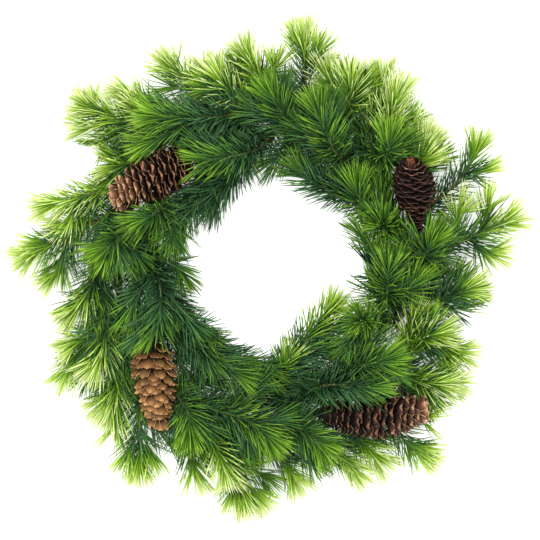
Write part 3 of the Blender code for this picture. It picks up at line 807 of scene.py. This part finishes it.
def cone_wood(name, deep_shade, face, lip):
    """Dry cone wood that goes from the deep colour, painted shade for the core and the hollows between
    scales, to the lip colour at the edge.
    """
    material, tree, shader = new_material(name, Roughness=0.75, IOR=1.5, Specular_IOR_Level=0.25)
    chart = node(tree, "ShaderNodeUVMap", {"uv_map": "OFBake"}).outputs["UV"]
    cells = node(tree, "ShaderNodeVectorMath", {"operation": "SCALE"}, _0=chart, Scale=CELLS)
    inside = node(tree, "ShaderNodeVectorMath", {"operation": "FRACTION"}, _0=cells.outputs[0])
    which = node(tree, "ShaderNodeVectorMath", {"operation": "FLOOR"}, _0=cells.outputs[0])
    own = node(
        tree, "ShaderNodeTexWhiteNoise", {"noise_dimensions": "2D"}, Vector=which.outputs[0],
    )
    shade_to_lip = node(tree, "ShaderNodeSeparateXYZ", Vector=inside.outputs[0]).outputs["X"]
    stretched = node(tree, "ShaderNodeMapping", Vector=chart, Scale=FIBRES)
    fibres = node(
        tree, "ShaderNodeTexNoise",
        Vector=stretched.outputs["Vector"], Scale=1.0, Detail=4.0, Roughness=0.6,
    )
    streaked = node(
        tree, "ShaderNodeMath", {"operation": "MULTIPLY_ADD"},
        _0=fibres.outputs["Fac"], _1=STREAK, _2=shade_to_lip,
    )
    centred = node(
        tree, "ShaderNodeMath", {"operation": "SUBTRACT"}, _0=streaked.outputs[0], _1=STREAK / 2,
    )
    stops = [(0.0, deep_shade), (0.32, deep_shade), (0.66, face), (0.92, lip), (1.0, lip)]
    browns = node(tree, "ShaderNodeValToRGB", stops=stops, Fac=centred.outputs[0])
    tone = node(
        tree, "ShaderNodeMapRange",
        Value=own.outputs["Value"], To_Min=SCALE_TONES[0], To_Max=SCALE_TONES[1],
    )
    tinted = node(
        tree, "ShaderNodeHueSaturation",
        Value=tone.outputs["Result"], Color=browns.outputs["Color"],
    )
    tree.links.new(tinted.outputs["Color"], shader.inputs["Base Color"])
    bump = node(
        tree, "ShaderNodeBump", Strength=0.6, Distance=0.25 * MM, Height=fibres.outputs["Fac"],
    )
    tree.links.new(bump.outputs["Normal"], shader.inputs["Normal"])
    return material


CONE_WOODS = [
    cone_wood("dry_spruce_cone_brown", "#180a04", "#7a5236", "#c8a07a"),
    cone_wood("dry_spruce_cone_dark", "#120604", "#46281c", "#a88c74"),
    cone_wood("dry_spruce_cone_tan", "#201005", "#75502a", "#b48c5c"),
    cone_wood("dry_spruce_cone_umber", "#100502", "#5a3824", "#c09a78"),
]
closed_tip_wood = cone_wood("dry_spruce_cone_russet", "#240f08", "#5e301e", "#8c5a3c")
print("cone materials", [material.name for material in CONE_WOODS], closed_tip_wood.name)

# %% [markdown]
# ## Shaping a scale
#
# A scale is a thin stiff spoon: narrow where it leaves the core, widest near its rounded lip and
# cupped across, with a lump of thicker wood in the middle of the lip. It is a grid of points for
# its inner face, which is the darker one, and another for its outer face, joined round the edge.
# The outermost strip of the grid is narrow, because a thin bright rim on a dark scale is what
# draws a cone. Much of the dark is painted shade: the face is painted darker towards its root and
# its sides, and all over on an open scale, which stands in the shade of its neighbours. A closed
# scale shows its face, so that one is paler all over.

# %% One scale as a grid
ACROSS = (-1.0, -0.93, -0.68, -0.36, 0.0, 0.36, 0.68, 0.93, 1.0)
LENGTHWISE = (0.0, 0.32, 0.58, 0.76, 0.89, 0.965, 1.0)
WOOD_THICKNESS = 0.5 * MM
LUMP_WIDTH = 0.45


def half_width(width, t):
    """Half a scale's width at t of its length: slim at the root, full at 0.76, round at the lip."""
    half = width / 2 * (0.30 + 0.70 * math.sin(min(t / 0.76, 1) * math.pi / 2) ** 1.2)
    if t > 0.80:
        half *= max(0.0, 1 - ((t - 0.80) / 0.22) ** 3.4) ** 0.5
    return half


def wood_shade(s, t, reach, lump, closed, outer):
    """How far a point of a scale is from the darkest wood, 0, to the pale lip, 1; the dark on its face
    is painted shade.
    """
    if t == 1 or (abs(s) == 1 and t > 0.5):
        return (0.68 + 0.20 * closed) * min(1.0, 0.35 + 0.065 * reach / MM)
    # Painted shade: the face is darker towards its root and its sides, and stays dark on an open scale,
    # where the scales above shade it
    out_of_painted_shade = min(max((t - 0.40) / 0.5, 0.0), 1.0)
    face = 0.24 + (0.12 + 0.42 * closed) * out_of_painted_shade - (0.10 + 0.10 * closed) * s * s
    knob = (0.78 + 0.10 * closed) * min(1.0, math.exp(-((s / LUMP_WIDTH) ** 4)) * 1.3 * t ** 8)
    knob *= min(1.0, 0.3 + lump / MM)
    return max(face, knob) * (1.0 if outer else 0.6)


def scale_grid(width, reach, cup, lump, closed, wave):
    """Points of a scale that lies along +Y with its outer face to -Z, and their place in a cell."""
    points, places = [], []
    for outer in (False, True):
        for t in LENGTHWISE:
            half = half_width(width, t)
            for s in ACROSS:
                y = reach * (t - (0.10 * s * s + 0.02 * math.sin(5 * s + wave)) * t * t)
                z = cup * width * s * s * t - 0.08 * reach * t * t * (1 - 1.7 * t)
                swell = lump * math.exp(-((s / LUMP_WIDTH) ** 2)) * t ** 5
                z += -WOOD_THICKNESS / 2 - swell if outer else WOOD_THICKNESS / 2
                points.append((s * half, y, z))
                shade = wood_shade(s, t, reach, lump, closed, outer)
                places.append((0.04 + 0.92 * shade, 0.5 + 0.44 * s))
    return np.array(points), np.array(places)


def scale_faces():
    """The faces of one scale: two grids and the band round them."""
    grid = np.arange(len(LENGTHWISE) * len(ACROSS)).reshape(len(LENGTHWISE), len(ACROSS))
    inner = np.stack([grid[:-1, :-1], grid[:-1, 1:], grid[1:, 1:], grid[1:, :-1]], axis=-1)
    inner = inner.reshape(-1, 4)
    outer = inner[:, ::-1] + grid.size
    rim = np.concatenate([grid[0], grid[1:, -1], grid[-1, -2::-1], grid[-2:0:-1, 0]])
    ahead = np.roll(rim, -1)
    band = np.stack([ahead, rim, rim + grid.size, ahead + grid.size], axis=1)
    return np.stack([inner, outer], axis=1).reshape(-1, 4).tolist() + band.tolist()


SCALE_FACES = scale_faces()
print("faces to a scale", len(SCALE_FACES))

# %% [markdown]
# ## Setting the scales on a cone
#
# The spiral starts at the base. For each scale its place along the cone gives the core's radius
# there and how far it has opened, and the profile gives how far its lip reaches. Each scale is
# rolled to follow its neighbour five places on, so that the lips join into rows. The cones differ
# in how open they are: the tan one is half closed and shows the faces of its scales, and the dark
# ones stand wide open and show their rims. Two cones are a little less open on their upper side,
# so that the knobs in the middle of the lips show, and the dark one is a little more open there.
# The last scales fold over the tip and close it.
#
# A look gives the number of scales, how open they are in degrees at six places from base to tip,
# the widest scale in millimetres and how cupped it is, the knob in millimetres, how many degrees
# more the upper side opens, how far the scales roll into rows, how much their openness varies,
# and how many scales the closed bundle at the tip has.

# %% How the cones differ
Look = namedtuple("Look", "scales openness width cup knob top_lean roll spread tip_bundle")
LOOKS = [
    Look(116, (92, 90, 80, 56, 40, 22), 15.5, 0.08, 2.0, -6, 0.9, 4, 0),
    Look(140, (35, 66, 84, 84, 76, 62), 16.0, 0.08, 0.9, 8, 0.9, 3, 14),
    Look(124, (64, 56, 47, 40, 32, 18), 13.5, 0.10, 1.0, 0, 0.9, 5, 0),
    Look(116, (86, 86, 82, 68, 46, 26), 18.0, 0.12, 2.2, -12, 0.5, 4, 0),
]
print("scales", [look.scales + look.tip_bundle for look in LOOKS])

# %% One scale of the spiral
OPEN_AT = (0, 0.3, 0.55, 0.75, 0.9, 1.0)
SPIRAL_START, SPIRAL_RUN = 0.03, 0.93
ROW_STEP = 5
ROW_TURN = 4 * math.pi - ROW_STEP * GOLDEN
CLOSED_AT, OPEN_FROM = 52, 80
LAST_SCALES = 0.84
FOLD_SHARES, FOLD = (0.86, 0.96), 30
CORE_RADII = (6.0, 6.0, 2.2)
# Where the closed bundle's scales grow, how far out in millimetres, and how open they are
BUNDLE_SHARES, BUNDLE_ROOTS, BUNDLE_DEGREES = (0.80, 0.86), (2.0, 6.4), (-6, 3)
BUNDLE_WIDTH, BUNDLE_REACH = 6.5 * MM, 0.2
Scale = namedtuple("Scale", "share outward core_radius opening closed width reach slope")


def core_under(cone, share):
    """The radius of the core that the scales grow from."""
    slim = np.interp(share, (0, 0.5, 0.95), CORE_RADII) * MM
    return min(slim, 0.45 * cone_radius(cone, share))


def lip_radius(cone, share, core_radius, opening, total):
    """How far out the lip of a scale reaches, which depends on how far on the lip lies."""
    lip = share
    for settling in range(5):
        full = cone_radius(cone, lip) * 0.97
        lip = share + (full - core_radius) / math.tan(opening) / total
    return full


def next_scale(cone, look, index, draw):
    """Where a scale of the spiral grows, how open it is and how large."""
    base, tip = cone_ends(cone)
    side, other = (x[0] for x in crosswise_of(unit(tip - base)[None]))
    total = np.linalg.norm(tip - base)
    share = SPIRAL_START + SPIRAL_RUN * min((index + 0.5) / look.scales, 1)
    azimuth = index * GOLDEN + draw.normal(0, 0.06)
    outward = math.cos(azimuth) * side + math.sin(azimuth) * other
    degrees = np.interp(share, OPEN_AT, look.openness) + draw.normal(0, look.spread)
    closed = float(np.interp(degrees, (CLOSED_AT, OPEN_FROM), (1.0, 0.0)))
    opening = math.radians(degrees + look.top_lean * outward[2] * (1 - 0.6 * closed))
    fold = math.radians(np.interp(share, FOLD_SHARES, (0, FOLD)))
    share = min(share, LAST_SCALES + 0.4 * (share - LAST_SCALES))
    core_radius = core_under(cone, share)
    full = lip_radius(cone, share, core_radius, opening, total)
    reach = max(full - core_radius, 2.2 * MM) / math.sin(opening) * draw.uniform(0.93, 1.04)
    width = np.interp(reach / MM, (3, 8, 14), (6, 0.66 * look.width, look.width)) * MM
    width *= draw.uniform(0.9, 1.08) * (1 - 0.22 * closed)
    row_length = SPIRAL_RUN * total * ROW_STEP / look.scales
    slope = row_length / (max(full, 9 * MM) * ROW_TURN)
    if index >= look.scales:
        share = draw.uniform(*BUNDLE_SHARES)
        core_radius = draw.uniform(*BUNDLE_ROOTS) * MM
        opening = math.radians(draw.uniform(*BUNDLE_DEGREES))
        width, reach = BUNDLE_WIDTH, BUNDLE_REACH * total
        fold = slope = 0
    if math.cos(opening) > 0.3:
        reach = min(reach, (1.0 - share) * total / math.cos(opening) + 1 * MM)
    width = min(width, 1.05 * reach)
    return Scale(share, outward, core_radius, opening - fold, closed, width, reach, slope)


def cone_scale(cone, look, index, draw):
    """One scale of a cone: its points, and their places in its cell of the chart."""
    scale = next_scale(cone, look, index, draw)
    base, tip = cone_ends(cone)
    axis = unit(tip - base)
    blade = math.cos(scale.opening) * axis + math.sin(scale.opening) * scale.outward
    aside = np.cross(axis, scale.outward)
    outer = np.cross(aside, blade)
    root = base + axis * scale.share * np.linalg.norm(tip - base) + cone_bow(cone, scale.share)
    root = root + scale.outward * scale.core_radius * 0.7
    cup = look.cup * (1 + 0.3 * scale.closed) * draw.uniform(0.8, 1.2)
    lump = look.knob * MM * draw.uniform(0.6, 1.3) * np.interp(scale.share, (0.1, 0.4), (0.2, 1))
    wave = draw.uniform(0, 2 * math.pi)
    reach = scale.reach + scale.core_radius * 0.3
    grid, places = scale_grid(scale.width, reach, cup, lump, scale.closed, wave)
    grid[:, 0] += grid[:, 1] * draw.normal(0, 0.06)
    roll = look.roll * scale.slope * math.sin(scale.opening) * (1 - 0.6 * scale.closed)
    grid[:, 2] -= grid[:, 0] * (roll + draw.normal(0, 0.05))
    row, column = divmod(index, CELLS)
    points = root + grid[:, :1] * aside + grid[:, 1:2] * blade - grid[:, 2:] * outer
    return points, (places + [column, row]) / CELLS


first_scale = cone_scale(CONES[0], LOOKS[0], 0, np.random.default_rng(1))[0]
print("points of a scale", len(first_scale))

# %% The core and the stalk
CORE_SIDES = 8
CORE_RINGS = 44


def cone_core(cone):
    """The stalk from the ring and the core under the scales, as one tube."""
    base, tip = cone_ends(cone)
    axis = unit(tip - base)
    start, leaving = seat(cone.root, 90, STALK_RADIUS, 0)
    stalk = curve(start, leaving, base, axis, 12)
    shares = np.linspace(0.04, 0.95, 14)
    core = base + (tip - base) * shares[:, None] + cone_bow(cone, shares)
    line = np.concatenate([stalk, core])
    skin, faces, places = tube(line, STALK_RADIUS, STALK_RADIUS, CORE_SIDES, CORE_RINGS)
    middles = along(line, np.linspace(0, 1, CORE_RINGS))[0]
    for ring, middle in enumerate(middles):
        share = (middle - base) @ axis / np.linalg.norm(tip - base)
        swell = np.interp(share, (-0.02, 0.05), (1, core_under(cone, share) / STALK_RADIUS))
        rows = slice(ring * CORE_SIDES, (ring + 1) * CORE_SIDES)
        skin[rows] = middle + (skin[rows] - middle) * swell
    # The core and the stalk take the darkest wood of the chart: painted shade, as the core lies deep
    # between the scales
    return skin, faces, places * [0.015, 0.02] + [0.004, 0.962]


print("faces of a core", len(cone_core(CONES[0])[1]))

# %% Build the cones
CONE_SEED = 400
SHARP_EDGE = 38


def cone_piece(number, cone, look):
    """One cone: its core and stalk, and its spiral of scales."""
    draw = np.random.default_rng(CONE_SEED + number)
    skin, faces, places = cone_core(cone)
    points, charts, slots = [skin], [places], [0] * len(faces)
    start = len(skin)
    for index in range(look.scales + look.tip_bundle):
        scale, scale_places = cone_scale(cone, look, index, draw)
        points.append(scale)
        charts.append(scale_places)
        faces += [tuple(corner + start for corner in face) for face in SCALE_FACES]
        slots += [1 if index >= look.scales else 0] * len(SCALE_FACES)
        start += len(scale)
    made = mesh_piece(
        f"spruce_cone_{number}", np.concatenate(points), faces, np.concatenate(charts),
        [CONE_WOODS[number - 1], closed_tip_wood], slots,
    )
    made.data.set_sharp_from_angle(angle=math.radians(SHARP_EDGE))
    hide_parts(f"cone_{number}")
    return made


for number, (cone, look) in enumerate(zip(CONES, LOOKS), 1):
    print("cone", number, "faces", len(cone_piece(number, cone, look).data.polygons))

# %% [markdown]
# ## The taped wire ring
#
# The ring is a wire wound with brown florist's tape, a crinkled waxed paper about 12 mm wide
# whose turns overlap. Little of it shows between the sprigs, but it is seen from below. The
# turns are a shallow step in the tube's radius that runs round it in a long screw.

# %% The tape
TAPE_BROWNS = [(0.3, "#33241a"), (0.7, "#5a4330")]
crepe_tape, tree, shader = new_material("waxed_crepe_tape", Roughness=0.6, IOR=1.45)
chart = node(tree, "ShaderNodeUVMap", {"uv_map": "OFBake"}).outputs["UV"]
creased = node(tree, "ShaderNodeMapping", Vector=chart, Scale=(900.0, 12.0, 1.0))
creases = node(
    tree, "ShaderNodeTexNoise",
    Vector=creased.outputs["Vector"], Scale=1.0, Detail=2.0, Roughness=0.5,
)
browns = node(tree, "ShaderNodeValToRGB", stops=TAPE_BROWNS, Fac=creases.outputs["Fac"])
tree.links.new(browns.outputs["Color"], shader.inputs["Base Color"])
bump = node(
    tree, "ShaderNodeBump", Strength=0.5, Distance=0.2 * MM, Height=creases.outputs["Fac"],
)
tree.links.new(bump.outputs["Normal"], shader.inputs["Normal"])
print("tape material", crepe_tape.name)

# %% The ring's mesh
RING_STEPS = 640
RING_SIDES = 16
TAPE_TURNS = 76
TAPE_STEP = 0.08
turns = np.linspace(0, 2 * math.pi, RING_STEPS, endpoint=False)
rounds = np.linspace(0, 2 * math.pi, RING_SIDES, endpoint=False)
turn, angle = np.meshgrid(turns, rounds, indexing="ij")
winding = (turn * TAPE_TURNS / (2 * math.pi) + angle / (2 * math.pi)) % 1
radius = WIRE_RADIUS * (1 - TAPE_STEP * (1 - winding))
across = RING_RADIUS + radius * np.cos(angle)
height = np.maximum(RING_HEIGHT + radius * np.sin(angle), 0)
ring_points = np.stack([across * np.cos(turn), across * np.sin(turn), height], axis=-1)
grid = np.arange(RING_STEPS * RING_SIDES).reshape(RING_STEPS, RING_SIDES)
ahead, up = np.roll(grid, -1, axis=0), np.roll(grid, -1, axis=1)
ring_faces = np.stack([grid, ahead, np.roll(ahead, -1, axis=1), up], axis=-1).reshape(-1, 4).tolist()
ring_chart = np.stack([np.abs(turn / math.pi - 1), np.abs(angle / math.pi - 1)], axis=-1)
ring = mesh_piece(
    "taped_ring", ring_points.reshape(-1, 3), ring_faces,
    ring_chart.reshape(-1, 2) * 0.98 + 0.01, [crepe_tape], [0] * len(ring_faces),
)
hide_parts("ring_frame")
print("ring faces", len(ring_faces))

# %% [markdown]
# ## Floor, light and camera
#
# The photograph was cut out on white: even the specks between its needles are white, and the
# wreath throws no shadow. So the floor is a pale matt sheet that also shines a little by itself,
# like a light table. A large softbox over the wreath's upper left gives the needles a little
# shape, and a pale sky fills the shadows. The camera hangs straight above, far away, so that the
# tall cones and the low sprigs keep nearly the same scale. One pixel of the photograph is 0.947
# mm wide at the level of the sprigs, 30 mm up.

# %% Floor
FLOOR_REACH = 3.0
PAPER_WHITES = [(0.3, "#f3f3f2"), (0.7, "#f6f6f5")]
pale_paper, tree, shader = new_material(
    "pale_paper_floor", Roughness=0.9,
    Emission_Color=linear("#ffffff"), Emission_Strength=0.44,
)
paper_place = node(tree, "ShaderNodeTexCoord")
paper_grain = node(
    tree, "ShaderNodeTexNoise", Vector=paper_place.outputs["Object"], Scale=300.0, Detail=2.0,
)
paper = node(tree, "ShaderNodeValToRGB", stops=PAPER_WHITES, Fac=paper_grain.outputs["Fac"])
tree.links.new(paper.outputs["Color"], shader.inputs["Base Color"])
floor_data = bpy.data.meshes.new("floor")
floor_corners = [(x * FLOOR_REACH, y * FLOOR_REACH, 0) for x, y in ((-1, -1), (1, -1), (1, 1), (-1, 1))]
floor_data.from_pydata(floor_corners, [], [(0, 1, 2, 3)])
floor_data.materials.append(pale_paper)
floor = placed("floor", floor_data)
print("floor reaches", FLOOR_REACH, "m each way")

# %% Light
SOFTBOX_PLACE = (-0.30, 0.40, 2.4)
softbox_data = bpy.data.lights.new("softbox_above_left", "AREA")
softbox_data.shape = "SQUARE"
softbox_data.size = 1.5
softbox_data.energy = 50
softbox = placed("softbox_above_left", softbox_data)
softbox.location = SOFTBOX_PLACE
softbox.rotation_euler = (-Vector(SOFTBOX_PLACE)).to_track_quat("-Z", "Y").to_euler()
world = bpy.data.worlds.new("pale_sky")
world.use_nodes = True
sky = world.node_tree.nodes["Background"]
sky.inputs["Color"].default_value = linear("#ffffff")
sky.inputs["Strength"].default_value = 1.5
bpy.context.scene.world = world
bpy.context.scene.view_settings.view_transform = "Standard"
print("softbox and sky are lit")

# %% Camera
PIXEL = 0.947 * MM
PIXELS_WIDE = 540
SENSOR_WIDTH = 36
CAMERA_HEIGHT = 2.4
SCALE_HEIGHT = 0.03
camera_data = bpy.data.cameras.new("camera")
camera_data.sensor_width = SENSOR_WIDTH
camera_data.lens = SENSOR_WIDTH * (CAMERA_HEIGHT - SCALE_HEIGHT) / (PIXELS_WIDE * PIXEL)
camera = placed("camera", camera_data)
camera.location = (MIDDLE[0] + PIXEL, MIDDLE[1] - PIXEL, CAMERA_HEIGHT)
bpy.context.scene.camera = camera
print("lens", round(camera_data.lens, 1))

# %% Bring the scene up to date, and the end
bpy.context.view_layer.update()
